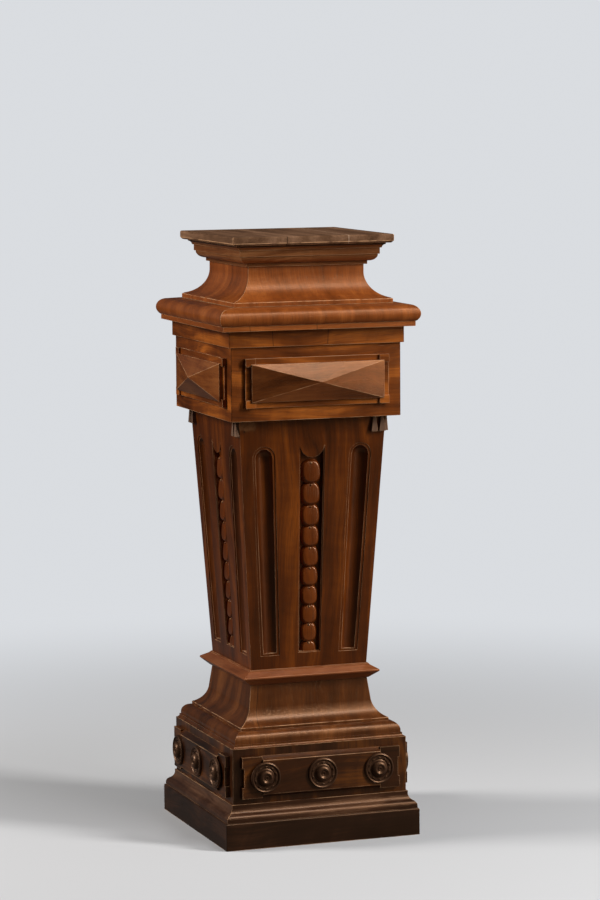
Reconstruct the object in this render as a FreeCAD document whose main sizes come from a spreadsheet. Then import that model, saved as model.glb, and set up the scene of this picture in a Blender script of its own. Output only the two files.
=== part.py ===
import FreeCAD, Part
import math
import os
import Sketcher

# Pedestal column stand in veneered walnut, as a bench assembly.
#
# A square, tapering pedestal is a stack of boxes. Each box is four boards mitred at the corners,
# and mitred mouldings run round every joint between two boxes. Softwood boards close each box
# inside. Applied ornament sits on the faces: diamond-point blocks on the frieze, drops below it,
# a strip of overlapping coins in the middle of each shaft face, and turned rosettes on the base.
#
# Frame: +Z up, origin at the centre of the underside, front face towards -Y. Millimetres.
# Every mitred piece is drawn as it lies on the +X side and then turned about Z to its face.

Vector = FreeCAD.Vector

# ---- driving dimensions ----------------------------------------------------------------------
# "_half" is the distance from the centre line to a face; "_level" is a height above the floor.

DIMENSIONS = {
    # heights of the joints, from the floor up
    "plinth_level": 53.0,
    "base_mould_level": 86.0,
    "die_level": 194.3,
    "surbase_level": 222.8,
    "foot_level": 306.0,
    "collar_level": 335.0,
    "shaft_level": 826.6,
    "rail_level": 969.0,
    "strip_level": 1001.0,
    "frieze_level": 1011.0,
    "shoulder_level": 1045.0,
    "cap_level": 1119.0,
    "neck_level": 1161.0,
    "total_height": 1178.0,
    # half widths of the main faces
    "plinth_half": 200.0,
    "base_mould_half": 197.0,
    "die_half": 179.3,
    "surbase_half": 178.0,
    "surbase_face_half": 171.3,
    "foot_half": 153.4,
    "foot_neck_half": 120.5,
    "collar_half": 140.0,
    "shaft_low_half": 119.8,
    "shaft_top_half": 150.5,
    "frieze_half": 173.0,
    "rail_half": 178.5,
    "strip_half": 196.0,
    "shoulder_half": 204.3,
    "neck_foot_half": 162.5,
    "neck_half": 118.5,
    "cap_fillet_half": 124.0,
    "cap_band_half": 143.0,
    "cap_cove_half": 152.0,
    "top_half": 164.5,
    # thicknesses
    "plinth_board": 25.0,
    "die_board": 20.0,
    "panel_board": 18.0,
    "inner_board": 20.0,
    "glue_block": 24.0,
    "edge_round": 3.0,
    # sizes of the moulding profiles
    "small_fillet": 3.0,
    "base_cove_radius": 15.0,
    "base_swell_radius": 12.0,
    "surbase_radius": 17.5,
    "surbase_cove_radius": 6.0,
    "foot_cove_radius": 44.0,
    "collar_bead": 2.5,
    "shoulder_radius": 17.7,
    "neck_cove_radius": 50.0,
    "cap_ovolo_radius": 14.0,
    "cap_cove_radius": 7.0,
    "cap_band_height": 12.0,
    "top_bevel": 4.0,
    # frieze ornament
    "plate_long_half": 146.5,
    "plate_low_level": 852.5,
    "plate_high_level": 947.5,
    "plate_border": 11.0,
    "plate_thick": 5.0,
    "ear_thick": 9.0,
    "ear_long": 20.0,
    "ear_high": 15.5,
    "diamond_edge": 7.0,
    "diamond_rise": 19.0,
    # drops below the frieze
    "drop_length": 30.0,
    "drop_wide": 13.0,
    "drop_narrow": 5.0,
    "drop_deep": 8.0,
    "drop_shallow": 5.0,
    "drop_outer_place": 142.0,
    "drop_inner_place": 126.0,
    # shaft face, measured along the slope from its foot
    "flute_foot": 31.0,
    "flute_spring": 417.5,
    "flute_foot_place": 80.8,
    "flute_top_place": 99.0,
    "flute_radius": 18.8,
    "flute_foot_out": 11.3,
    "flute_top_out": 5.2,
    "flute_margin": 4.5,
    "margin_deep": 1.5,
    "channel_foot": 31.0,
    "channel_top": 437.0,
    "channel_foot_half": 21.0,
    "channel_top_half": 24.2,
    "channel_dip": 21.5,
    "channel_deep": 12.0,
    "channel_margin": 2.0,
    "coin_first": 386.8,
    "coin_pitch": 43.4,
    "coin_shrink": 0.975,
    "coin_width": 0.93,
    "coin_overlap": 5.0,
    "coin_sunk": 2.5,
    "coin_tilt": 7.0,
    # base ornament
    "die_panel_low": 97.0,
    "die_panel_high": 178.5,
    "die_panel_long_half": 121.5,
    "die_panel_thick": 13.7,
    "die_panel_bevel": 7.5,
    "end_plate_half": 162.5,
    "end_plate_thick": 9.7,
    "end_notch_deep": 3.5,
    "end_ear_high": 22.0,
    "rosette_radius": 30.0,
    "rosette_place": 117.0,
    "rosette_level": 138.0,
    "rosette_high": 10.3,
}

SHEET = "Dimensions"
FACES = {"right": 0, "back": 90, "left": 180, "front": 270}


class Size:
    """A length that keeps its number together with the sheet expression that gives it."""

    def __init__(self, value, text):
        self.value = float(value)
        self.text = text

    @staticmethod
    def of(other):
        if isinstance(other, Size):
            return other
        return Size(other, repr(other))

    def __add__(self, other):
        other = Size.of(other)
        return Size(self.value + other.value, "(%s + %s)" % (self.text, other.text))

    def __sub__(self, other):
        other = Size.of(other)
        return Size(self.value - other.value, "(%s - %s)" % (self.text, other.text))

    def __mul__(self, other):
        other = Size.of(other)
        return Size(self.value * other.value, "(%s * %s)" % (self.text, other.text))

    def __truediv__(self, other):
        other = Size.of(other)
        return Size(self.value / other.value, "(%s / %s)" % (self.text, other.text))

    def __neg__(self):
        return self * -1


def size(alias):
    return Size(DIMENSIONS[alias], "%s.%s" % (SHEET, alias))


ZERO = Size(0, "0")

doc = FreeCAD.newDocument("PedestalColumnStand")
sheet = doc.addObject("Spreadsheet::Sheet", SHEET)
for row, (alias, value) in enumerate(DIMENSIONS.items(), start=1):
    sheet.set("A%d" % row, alias)
    sheet.set("B%d" % row, str(value))
    sheet.setAlias("B%d" % row, alias)
doc.recompute()

nodes = []


def keep(thing, label):
    """Name a finished sub-part, so that it is checked and written out."""
    thing.Label = label
    nodes.append(thing)
    return thing


def bind(thing, **sizes):
    for name, length in sizes.items():
        thing.setExpression(name, length.text)


# ---- sketches --------------------------------------------------------------------------------

def new_body(name):
    return doc.addObject("PartDesign::Body", name)


def new_sketch(body, role, name, offset=None):
    """A sketch on one of the body's own origin planes, moved off it where offset is given."""
    plane = next(p for p in body.Origin.OriginFeatures if p.Role == role)
    sketch = body.newObject("Sketcher::SketchObject", name)
    sketch.AttachmentSupport = [(plane, "")]
    sketch.MapMode = "FlatFace"
    if offset is not None:
        sketch.AttachmentOffset = offset
    return sketch


def arc_edge(start, end, radius, turn):
    """The short arc from start to end; turn is +1 when it runs anticlockwise."""
    chord = end - start
    middle = (start + end) * 0.5
    side = Vector(-chord.y, chord.x, 0).normalize()
    reach = math.sqrt(max(radius ** 2 - (chord.Length / 2) ** 2, 0.0))
    centre = middle + side * (reach * turn)
    bulge = centre - side * (radius * turn)
    return Part.Arc(start, bulge, end)


def outline(sketch, points):
    """Draw a closed outline and bind it to the sheet.

    A point is (across, up) for a straight side that ends there, or (across, up, radius, turn)
    for an arc that ends there.
    """
    first = sketch.GeometryCount
    corners = [Vector(p[0].value, p[1].value, 0) for p in points]
    count = len(points)
    rules = []
    formulas = []
    for i, point in enumerate(points):
        start = corners[i - 1]
        end = corners[i]
        if len(point) == 2:
            sketch.addGeometry(Part.LineSegment(start, end), False)
            begin_end = (1, 2)
        else:
            arc = arc_edge(start, end, point[2].value, point[3])
            sketch.addGeometry(arc, False)
            begin_end = (1, 2) if point[3] > 0 else (2, 1)
        points[i] = (point, begin_end)
    for i, (point, begin_end) in enumerate(points):
        geo = first + i
        following = points[(i + 1) % count]
        next_geo = first + (i + 1) % count
        rules.append(Sketcher.Constraint("Coincident", geo, begin_end[1], next_geo, following[1][0]))
        for kind, axis, length in (("DistanceX", -2, point[0]), ("DistanceY", -1, point[1])):
            if length.value == 0.0:
                rules.append(Sketcher.Constraint("PointOnObject", geo, begin_end[1], axis))
            else:
                formulas.append((len(rules), length.text))
                rules.append(Sketcher.Constraint(kind, geo, begin_end[1], length.value))
        if len(point) == 4:
            formulas.append((len(rules), point[2].text))
            rules.append(Sketcher.Constraint("Radius", geo, point[2].value))
    shift = sketch.ConstraintCount
    sketch.addConstraint(rules)
    for index, text in formulas:
        sketch.setExpression("Constraints[%d]" % (shift + index), text)


def rectangle(low_x, low_y, high_x, high_y):
    return [(low_x, low_y), (high_x, low_y), (high_x, high_y), (low_x, high_y)]


def pad(body, sketch, length, name, symmetric=False, reverse=False):
    feature = body.newObject("PartDesign::Pad", name)
    feature.Profile = sketch
    feature.SideType = "Symmetric" if symmetric else "One side"
    feature.Reversed = reverse
    bind(feature, Length=length)
    return feature


def pocket(body, sketch, length, name, reverse=False):
    feature = body.newObject("PartDesign::Pocket", name)
    feature.Profile = sketch
    feature.Reversed = reverse
    bind(feature, Length=length)
    return feature


# ---- mitred runs -----------------------------------------------------------------------------

def mitred_body(name, points, reach):
    """One side of a square run: the profile swept along Y and mitred at 45 degrees at both ends."""
    body = new_body(name)
    profile = new_sketch(body, "XZ_Plane", name + "_profile")
    outline(profile, points)
    pad(body, profile, (reach + 5) * 2, name + "_run", symmetric=True)
    mitre = new_sketch(body, "XY_Plane", name + "_mitre")
    within = reach * 0.5
    beyond = reach + 20
    outline(mitre, [(within, within), (beyond, beyond), (within, beyond)])
    outline(mitre, [(within, -within), (within, -beyond), (beyond, -beyond)])
    pocket(body, mitre, size("total_height") + 10, name + "_mitres", reverse=True)
    return body


def turned(thing, face):
    thing.Placement = FreeCAD.Placement(Vector(), FreeCAD.Rotation(Vector(0, 0, 1), FACES[face]))
    return thing


def run_of_four(name, profile, reach):
    """Four mitred lengths that each are a sub-part of their own."""
    for face in FACES:
        body = mitred_body("%s_%s" % (name, face), profile(), reach)
        keep(turned(body, face), "%s_%s" % (name, face))


def group(name, things):
    """Like pieces that share one sub-part as separate solids."""
    compound = doc.addObject("Part::Compound", name)
    compound.Links = things
    keep(compound, name)


def run_in_one(name, profile, reach):
    """Four mitred lengths of a thin moulding, kept together as separate solids."""
    lengths = [turned(mitred_body("%s_%s" % (name, face), profile(), reach), face) for face in FACES]
    group(name, lengths)


def flat_board(name, half, low, high):
    """A square softwood board that closes the column inside."""
    body = new_body(name)
    square = new_sketch(body, "XY_Plane", name + "_square", lifted(low))
    outline(square, rectangle(-half, -half, half, half))
    pad(body, square, high - low, name + "_slab")
    return body


def lifted(level):
    return FreeCAD.Placement(Vector(0, 0, level.value), FreeCAD.Rotation())


def edges_at(shape, level):
    """Names of the straight edges that lie flat at one height."""
    names = []
    for number, edge in enumerate(shape.Edges, start=1):
        box = edge.BoundBox
        if abs(box.ZMin - level) < 0.01 and abs(box.ZMax - level) < 0.01:
            names.append("Edge%d" % number)
    return names


# ---- profiles, each read anticlockwise with the outside to the right ----------------------------

def plinth_profile():
    outer = size("plinth_half")
    inner = outer - size("plinth_board")
    top = size("plinth_level")
    soft = size("edge_round")
    return [(inner, ZERO), (outer, ZERO), (outer, top - soft), (outer - soft, top, soft, 1), (inner, top)]


def base_moulding_profile():
    inner = size("die_half")
    outer = size("base_mould_half")
    foot = size("plinth_level")
    top = size("base_mould_level")
    step = size("small_fillet")
    bend_x = outer - size("base_swell_radius") * 0.6
    bend_z = foot + step * 5
    return [
        (inner, foot),
        (outer, foot),
        (outer, foot + step),
        (bend_x, bend_z, size("base_swell_radius"), 1),
        (inner + step, top - step, size("base_cove_radius"), -1),
        (inner + step, top),
        (inner, top),
    ]


def die_profile():
    outer = size("die_half")
    inner = outer - size("die_board")
    return rectangle(inner, size("plinth_level"), outer, size("die_level"))


def surbase_profile():
    inner = size("foot_half") - size("panel_board")
    outer = size("surbase_half")
    face = size("surbase_face_half")
    foot = size("die_level")
    top = size("surbase_level")
    step = size("small_fillet")
    return [
        (inner, foot),
        (outer, foot),
        (face + step * 0.8, foot + step * 1.4, size("surbase_cove_radius"), -1),
        (face + step * 0.8, foot + step * 2.4),
        (face, foot + step * 2.4),
        (face, foot + step * 4),
        (size("foot_half") + step * 0.6, top, size("surbase_radius"), 1),
        (inner, top),
    ]


def foot_profile():
    neck = size("foot_neck_half")
    outer = size("foot_half")
    board = size("panel_board")
    foot = size("surbase_level")
    top = size("foot_level")
    return [
        (outer - board, foot),
        (outer, foot),
        (outer, foot + size("small_fillet") * 2),
        (neck + size("small_fillet") * 2, top - size("foot_cove_radius"), size("foot_cove_radius"), -1),
        (neck, top),
        (neck - board, top),
        (neck - board, top - size("foot_cove_radius")),
    ]


def collar_profile():
    nose = size("collar_half")
    inner = size("shaft_low_half") - size("panel_board")
    foot = size("foot_level")
    top = size("collar_level")
    bead = size("collar_bead")
    lip = size("shaft_low_half") + bead
    under = size("foot_neck_half") + bead
    middle = foot + (top - foot) * 0.53
    return [
        (inner, foot),
        (under, foot),
        (nose - bead * 0.5, middle - bead),
        (nose - bead * 0.5, middle + bead, bead * 1.15, 1),
        (lip + bead * 0.8, top - bead * 1.2),
        (lip + bead * 0.8, top - bead * 0.6),
        (lip, top - bead * 0.6),
        (lip, top),
        (inner, top),
    ]


def shaft_profile():
    low = size("shaft_low_half")
    high = size("shaft_top_half")
    board = size("panel_board")
    foot = size("collar_level")
    top = size("shaft_level")
    return [(low - board, foot), (low, foot), (high, top), (high - board, top)]


def frieze_profile():
    outer = size("frieze_half")
    inner = outer - size("panel_board")
    return rectangle(inner, size("shaft_level"), outer, size("frieze_level"))


def rail_profile():
    return rectangle(size("frieze_half"), size("rail_level"), size("rail_half"), size("strip_level"))


def strip_profile():
    return rectangle(size("frieze_half"), size("strip_level"), size("strip_half"), size("frieze_level"))


def shoulder_profile():
    """A bull-nosed shelf whose top falls a little to the nose."""
    nose = size("shoulder_half")
    inner = size("neck_foot_half") + size("small_fillet")
    foot = size("frieze_level")
    top = size("shoulder_level")
    radius = size("shoulder_radius")
    return [
        (inner, foot),
        (nose - radius * 0.4, foot),
        (nose, top - radius * 1.15, radius, 1),
        (nose - radius, top - size("small_fillet") * 0.8, radius, 1),
        (inner, top),
    ]


def neck_profile():
    neck = size("neck_half")
    outer = size("neck_foot_half")
    board = size("panel_board")
    foot = size("shoulder_level")
    top = size("neck_level")
    radius = size("neck_cove_radius")
    step = size("small_fillet")
    lip = foot + step * 2.7
    return [
        (outer - board * 1.5, foot),
        (outer, foot),
        (outer, lip),
        (outer - step * 1.5, lip + step * 0.7),
        (neck, foot + radius * 1.18, radius, -1),
        (neck, top),
        (neck - board, top),
        (neck - board, foot + radius),
    ]


def cap_profile():
    """Fillet, ovolo, flat band and a small cove that carries the top board."""
    inner = size("neck_half")
    fillet = size("cap_fillet_half")
    band = size("cap_band_half")
    cove = size("cap_cove_half")
    foot = size("cap_level")
    top = size("neck_level")
    step = size("small_fillet")
    band_foot = foot + step * 6.7
    band_top = band_foot + size("cap_band_height")
    return [
        (inner, foot),
        (fillet, foot),
        (fillet, foot + step * 2.3),
        (band - step, band_foot - step, size("cap_ovolo_radius"), 1),
        (band - step, band_foot),
        (band, band_foot),
        (band, band_top),
        (band + step, band_top),
        (cove, top - step, size("cap_cove_radius"), -1),
        (cove, top),
        (inner, top),
    ]


# ---- courses from the floor up -----------------------------------------------------------------

run_of_four("plinth_board", plinth_profile, size("plinth_half"))
run_in_one("base_moulding", base_moulding_profile, size("base_mould_half"))
run_of_four("die_board", die_profile, size("die_half"))
run_in_one("surbase_moulding", surbase_profile, size("surbase_half"))
run_of_four("foot_cove_board", foot_profile, size("foot_half"))
run_in_one("collar_moulding", collar_profile, size("collar_half"))
run_of_four("frieze_board", frieze_profile, size("frieze_half"))
run_in_one("frieze_rail", rail_profile, size("rail_half"))
run_in_one("shoulder_strip", strip_profile, size("strip_half"))
run_of_four("shoulder_moulding", shoulder_profile, size("shoulder_half"))
run_of_four("neck_cove_board", neck_profile, size("neck_foot_half"))
run_in_one("cap_moulding", cap_profile, size("cap_cove_half"))


# ---- shaft: tapering boards with flutes and a channel --------------------------------------------

SLOPE = math.atan2(
    DIMENSIONS["shaft_top_half"] - DIMENSIONS["shaft_low_half"],
    DIMENSIONS["shaft_level"] - DIMENSIONS["collar_level"],
)


def on_shaft(along, up, out):
    """A point of a shaft face: along it, up the slope from its foot, and out from it."""
    rise = Vector(math.sin(SLOPE), 0, math.cos(SLOPE))
    outward = Vector(math.cos(SLOPE), 0, -math.sin(SLOPE))
    foot = Vector(DIMENSIONS["shaft_low_half"], 0, DIMENSIONS["collar_level"])
    return foot + Vector(0, along, 0) + rise * up + outward * out


def shaft_plane(out=0.0):
    """Offset that carries a sketch from the YZ plane onto the sloping face."""
    foot = on_shaft(0, 0, out)
    tilt = FreeCAD.Rotation(Vector(1, 0, 0), math.degrees(SLOPE))
    return FreeCAD.Placement(Vector(0, foot.z, foot.x), tilt)


def flute_margin_outline(side):
    """The sunk border of one flute: tapering sides and a round head."""
    margin = size("flute_margin")
    foot_half = flute_half(size("flute_foot_out")) + margin
    top_half = flute_half(size("flute_top_out")) + margin
    low = size("flute_foot_place") * side
    high = size("flute_top_place") * side
    foot = size("flute_foot") - margin
    spring = size("flute_spring")
    return [
        (low - foot_half, foot),
        (low + foot_half, foot),
        (high + top_half, spring),
        (high - top_half, spring, top_half * 1.0001, 1),
    ]


def flute_half(out):
    """Half the width that a round cutter leaves in the face, its axis held this far off it."""
    radius = size("flute_radius")
    value = math.sqrt(radius.value ** 2 - out.value ** 2)
    return Size(value, "sqrt(%s^2 - %s^2)" % (radius.text, out.text))


def channel_outline(spread):
    """The middle channel: tapering sides, and a head that dips as a half disc."""
    foot = size("channel_foot") - spread
    top = size("channel_top")
    low = size("channel_foot_half") + spread
    high = size("channel_top_half") + spread
    dip = size("channel_dip")
    bow = Size(
        (high.value ** 2 + dip.value ** 2) / (2 * dip.value),
        "((%s^2 + %s^2) / (2 * %s))" % (high.text, dip.text, dip.text),
    )
    return [(-low, foot), (low, foot), (high, top), (-high, top, bow, -1)]


def cut_flute(body, side, name):
    """Hollow one flute: half of the round cutter's outline, turned about its own slanting axis."""
    ends = []
    for along, up, out in (
        ("flute_foot_place", "flute_foot", "flute_foot_out"),
        ("flute_top_place", "flute_spring", "flute_top_out"),
    ):
        ends.append(on_shaft(side * DIMENSIONS[along], DIMENSIONS[up], DIMENSIONS[out]))
    low, high = ends
    outward = on_shaft(0, 0, 1) - on_shaft(0, 0, 0)
    lay = FreeCAD.Placement(low, FreeCAD.Rotation(Vector(), high - low, outward, "YZX"))
    plane = FreeCAD.Placement(Vector(), FreeCAD.Rotation(Vector(1, 1, 1), 120))
    cutter = new_sketch(body, "YZ_Plane", name + "_cutter", plane.inverse().multiply(lay))
    rise = size("flute_spring") - size("flute_foot")
    shift = size("flute_top_place") - size("flute_foot_place")
    tip = size("flute_foot_out") - size("flute_top_out")
    length = Size((high - low).Length, "sqrt(%s^2 + %s^2 + %s^2)" % (rise.text, shift.text, tip.text))
    ball = size("flute_radius")
    outline(cutter, [
        (ZERO, ZERO),
        (ball, ZERO),
        (ball, length),
        (ball * 0.88, length + ball * 0.48),
        (ball * 0.52, length + ball * 0.85),
        (ZERO, length + ball),
    ])
    hollow = body.newObject("PartDesign::Groove", name + "_hollow")
    hollow.Profile = cutter
    hollow.ReferenceAxis = (cutter, ["V_Axis"])
    hollow.Angle = 360


def shaft_board(face):
    name = "shaft_board_" + face
    body = mitred_body(name, shaft_profile(), size("shaft_top_half"))
    margins = new_sketch(body, "YZ_Plane", name + "_margins", shaft_plane())
    for side in (-1, 1):
        outline(margins, flute_margin_outline(side))
    outline(margins, channel_outline(size("channel_margin")))
    pocket(body, margins, size("margin_deep"), name + "_sunk_borders")
    channel = new_sketch(body, "YZ_Plane", name + "_channel", shaft_plane())
    outline(channel, channel_outline(ZERO))
    pocket(body, channel, size("channel_deep"), name + "_channel_cut")
    for side, word in ((-1, "near"), (1, "far")):
        cut_flute(body, side, "%s_%s" % (name, word))
    return body


for face in FACES:
    keep(turned(shaft_board(face), face), "shaft_board_" + face)


# ---- coin strips: overlapping discs carved on one strip of wood ----------------------------------

def coin_shape(pitch):
    """One coin, a little longer than wide, leaning so that its foot stands proud of the next."""
    radius = pitch * DIMENSIONS["coin_width"] / 2
    reach = DIMENSIONS["coin_overlap"] / 2
    left_foot, right_foot = Vector(-reach, -radius, 0), Vector(-reach, radius, 0)
    left_head, right_head = Vector(reach, -radius, 0), Vector(reach, radius, 0)
    edges = [
        Part.Arc(right_foot, Vector(-reach - radius, 0, 0), left_foot).toShape(),
        Part.makeLine(left_foot, left_head),
        Part.Arc(left_head, Vector(reach + radius, 0, 0), right_head).toShape(),
        Part.makeLine(right_head, right_foot),
    ]
    drum = Part.Face(Part.Wire(edges)).extrude(Vector(0, 0, -2 * DIMENSIONS["channel_deep"]))
    drum.rotate(Vector(), Vector(0, 1, 0), DIMENSIONS["coin_tilt"])
    return drum


def channel_block():
    """The room that the channel gives the coins, from its floor to well above the face."""
    foot = DIMENSIONS["channel_foot"]
    top = DIMENSIONS["channel_top"]
    low = DIMENSIONS["channel_foot_half"]
    high = DIMENSIONS["channel_top_half"]
    deep = DIMENSIONS["channel_deep"]
    corners = [(foot, low), (foot, -low), (top, -high), (top, high), (foot, low)]
    area = Part.Face(Part.makePolygon([Vector(x, y, -deep) for x, y in corners]))
    return area.extrude(Vector(0, 0, deep * 2))


def coin_strip(face):
    """Carved with X up the strip and Z out of it, then laid into the channel of its board."""
    pitch = DIMENSIONS["coin_pitch"]
    place = DIMENSIONS["coin_first"]
    coins = []
    while place + pitch / 2 > DIMENSIONS["channel_foot"]:
        coin = coin_shape(pitch)
        coin.translate(Vector(place, 0, -DIMENSIONS["coin_sunk"]))
        coins.append(coin)
        place -= pitch
        pitch *= DIMENSIONS["coin_shrink"]
    carved = coins[0].fuse(coins[1:]).common(channel_block()).removeSplitter()
    feature = doc.addObject("Part::Feature", "coin_strip_" + face)
    feature.Shape = carved.Solids[0]
    rise = on_shaft(0, 1, 0) - on_shaft(0, 0, 0)
    outward = on_shaft(0, 0, 1) - on_shaft(0, 0, 0)
    lay = FreeCAD.Placement(on_shaft(0, 0, 0), FreeCAD.Rotation(rise, Vector(), outward, "XZY"))
    spin = FreeCAD.Placement(Vector(), FreeCAD.Rotation(Vector(0, 0, 1), FACES[face]))
    feature.Placement = spin.multiply(lay)
    return feature


for face in FACES:
    keep(coin_strip(face), "coin_strip_" + face)


# ---- frieze ornament -----------------------------------------------------------------------------

def standing(distance):
    """Offset that carries a sketch out along X to a face of the column."""
    return FreeCAD.Placement(Vector(0, 0, distance.value), FreeCAD.Rotation())


def eared_plate(name):
    """A flat border plate with four prouder ears that wrap the corners of the block."""
    body = new_body(name)
    half = size("plate_long_half")
    low = size("plate_low_level")
    high = size("plate_high_level")
    field = new_sketch(body, "YZ_Plane", name + "_field", standing(size("frieze_half")))
    outline(field, rectangle(-half, low, half, high))
    pad(body, field, size("plate_thick"), name + "_border")
    ears = new_sketch(body, "YZ_Plane", name + "_ears", standing(size("frieze_half")))
    border = size("plate_border")
    for side in (-1, 1):
        for edge, inward in ((low, 1), (high, -1)):
            end = half * side
            outline(ears, [
                (end, edge),
                (end - size("ear_long") * side, edge),
                (end - size("ear_long") * side, edge + border * inward),
                (end - border * side, edge + border * inward),
                (end - border * side, edge + size("ear_high") * inward),
                (end, edge + size("ear_high") * inward),
            ])
    pad(body, ears, size("ear_thick"), name + "_ear_pads")
    return body


def diamond_block(name):
    """A block with square edges that rises to one point: the diamond-point boss."""
    body = new_body(name)
    half = size("plate_long_half") - size("plate_border")
    low = size("plate_low_level") + size("plate_border")
    high = size("plate_high_level") - size("plate_border")
    back = size("frieze_half") + size("plate_thick")
    foot = new_sketch(body, "YZ_Plane", name + "_foot", standing(back))
    outline(foot, rectangle(-half, low, half, high))
    pad(body, foot, size("diamond_edge"), name + "_edge")
    point = body.newObject("PartDesign::AdditiveWedge", name + "_point")
    middle = (low + high) / 2
    bind(point, Xmin=-half, Xmax=half, Ymin=ZERO, Ymax=size("diamond_rise"))
    bind(point, Zmin=low - middle, Zmax=high - middle)
    bind(point, X2min=ZERO, X2max=ZERO, Z2min=ZERO, Z2max=ZERO)
    turn = FreeCAD.Rotation(Vector(0, -1, 0), Vector(1, 0, 0), Vector(0, 0, 1), "XYZ")
    front = back + size("diamond_edge")
    point.Placement = FreeCAD.Placement(Vector(front.value, 0, middle.value), turn)
    return body


for face in FACES:
    keep(turned(eared_plate("frieze_plate_" + face), face), "frieze_plate_" + face)
    keep(turned(diamond_block("diamond_block_" + face), face), "diamond_block_" + face)


# ---- drops below the frieze: flaring pegs on the shaft face ---------------------------------------

def wedge(name, across, outward, length, placement):
    """A tapering peg: across and outward are (low, high) pairs at its foot and at its head."""
    peg = doc.addObject("Part::Wedge", name)
    bind(peg, Ymin=ZERO, Ymax=length)
    bind(peg, Xmin=across[0], Xmax=across[1], X2min=across[2], X2max=across[3])
    bind(peg, Zmin=outward[0], Zmax=outward[1], Z2min=outward[2], Z2max=outward[3])
    peg.Placement = placement
    return peg


def drop(face, place, name):
    length = size("drop_length")
    wide = size("drop_wide") / 2
    narrow = size("drop_narrow") / 2
    height = (DIMENSIONS["shaft_level"] - DIMENSIONS["collar_level"]) / math.cos(SLOPE)
    foot = on_shaft(place, height - length.value - 0.6, 0)
    rise = on_shaft(0, 1, 0) - on_shaft(0, 0, 0)
    outward = on_shaft(0, 0, 1) - on_shaft(0, 0, 0)
    lay = FreeCAD.Placement(foot, FreeCAD.Rotation(Vector(), rise, outward, "ZYX"))
    spin = FreeCAD.Placement(Vector(), FreeCAD.Rotation(Vector(0, 0, 1), FACES[face]))
    across = (-wide, wide, -narrow, narrow)
    deep = (ZERO, size("drop_deep"), ZERO, size("drop_shallow"))
    return wedge(name, across, deep, length, spin.multiply(lay))


# The pair at the near end of the front face has come off, and only its glue shows.
LOST_DROPS = [("front", -1)]

drops = []
for face in FACES:
    for side in (-1, 1):
        if (face, side) in LOST_DROPS:
            continue
        for alias in ("drop_inner_place", "drop_outer_place"):
            drops.append(drop(face, side * DIMENSIONS[alias], "drop_%s_%d" % (face, len(drops))))
group("frieze_drops", drops)


# ---- base ornament -------------------------------------------------------------------------------

def die_panel(name):
    """A thick panel with square ends, its top and bottom edges bevelled back to the die."""
    body = new_body(name)
    back = size("die_half")
    front = back + size("die_panel_thick")
    low = size("die_panel_low")
    high = size("die_panel_high")
    bevel = size("die_panel_bevel")
    side = new_sketch(body, "XZ_Plane", name + "_side")
    outline(side, [(back, low), (front, low + bevel), (front, high - bevel), (back, high)])
    pad(body, side, size("die_panel_long_half") * 2, name + "_length", symmetric=True)
    return body


def end_plate(name, side):
    """The plate beyond one end of the panel, notched so that two ears stand out."""
    body = new_body(name)
    low = size("die_panel_low")
    high = size("die_panel_high")
    inner = size("die_panel_long_half") * side
    outer = size("end_plate_half") * side
    notch = outer - size("end_notch_deep") * side
    ear = size("end_ear_high")
    shape = new_sketch(body, "YZ_Plane", name + "_shape", standing(size("die_half")))
    outline(shape, [
        (inner, low),
        (outer, low),
        (outer, low + ear),
        (notch, low + ear),
        (notch, high - ear),
        (outer, high - ear),
        (outer, high),
        (inner, high),
    ])
    pad(body, shape, size("end_plate_thick"), name + "_plate")
    return body


def rosette(name, place):
    """A turned boss that stands on a broad, lower rim."""
    body = new_body(name)
    edge = size("rosette_radius")
    high = size("rosette_high")
    front = size("die_half") + size("die_panel_thick")
    turning = new_sketch(body, "XZ_Plane", name + "_turning")
    outline(turning, [
        (front, ZERO),
        (front + high, ZERO),
        (front + high, edge * 0.5),
        (front + high * 0.5, edge * 0.5),
        (front + high * 0.5, edge),
        (front, edge),
    ])
    turn = body.newObject("PartDesign::Revolution", name + "_turned")
    turn.Profile = turning
    turn.ReferenceAxis = (turning, ["H_Axis"])
    turn.Angle = 360
    centre = Vector(0, place, DIMENSIONS["rosette_level"])
    return body, centre


panels = []
plates = []
rosettes = []
for face in FACES:
    panels.append(turned(die_panel("die_panel_" + face), face))
    for side, word in ((-1, "near"), (1, "far")):
        plates.append(turned(end_plate("end_plate_%s_%s" % (face, word), side), face))
    for number, step in enumerate((-1, 0, 1)):
        boss, centre = rosette("rosette_%s_%d" % (face, number), step * DIMENSIONS["rosette_place"])
        spin = FreeCAD.Placement(Vector(), FreeCAD.Rotation(Vector(0, 0, 1), FACES[face]))
        boss.Placement = spin.multiply(FreeCAD.Placement(centre, FreeCAD.Rotation()))
        rosettes.append(boss)
group("die_panels", panels)
group("die_end_plates", plates)
group("rosettes", rosettes)


# ---- top board and the softwood inside -------------------------------------------------------------

def top_board():
    name = "top_board"
    body = flat_board(name, size("top_half"), size("neck_level"), size("total_height"))
    doc.recompute()
    slab = body.Tip
    bevel = body.newObject("PartDesign::Chamfer", name + "_bevel")
    bevel.Base = (slab, edges_at(slab.Shape, DIMENSIONS["neck_level"]))
    bind(bevel, Size=size("top_bevel"))
    doc.recompute()
    soft = body.newObject("PartDesign::Fillet", name + "_round")
    soft.Base = (bevel, edges_at(bevel.Shape, DIMENSIONS["total_height"]))
    bind(soft, Radius=size("edge_round"))
    return body


keep(top_board(), "top_board")

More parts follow.
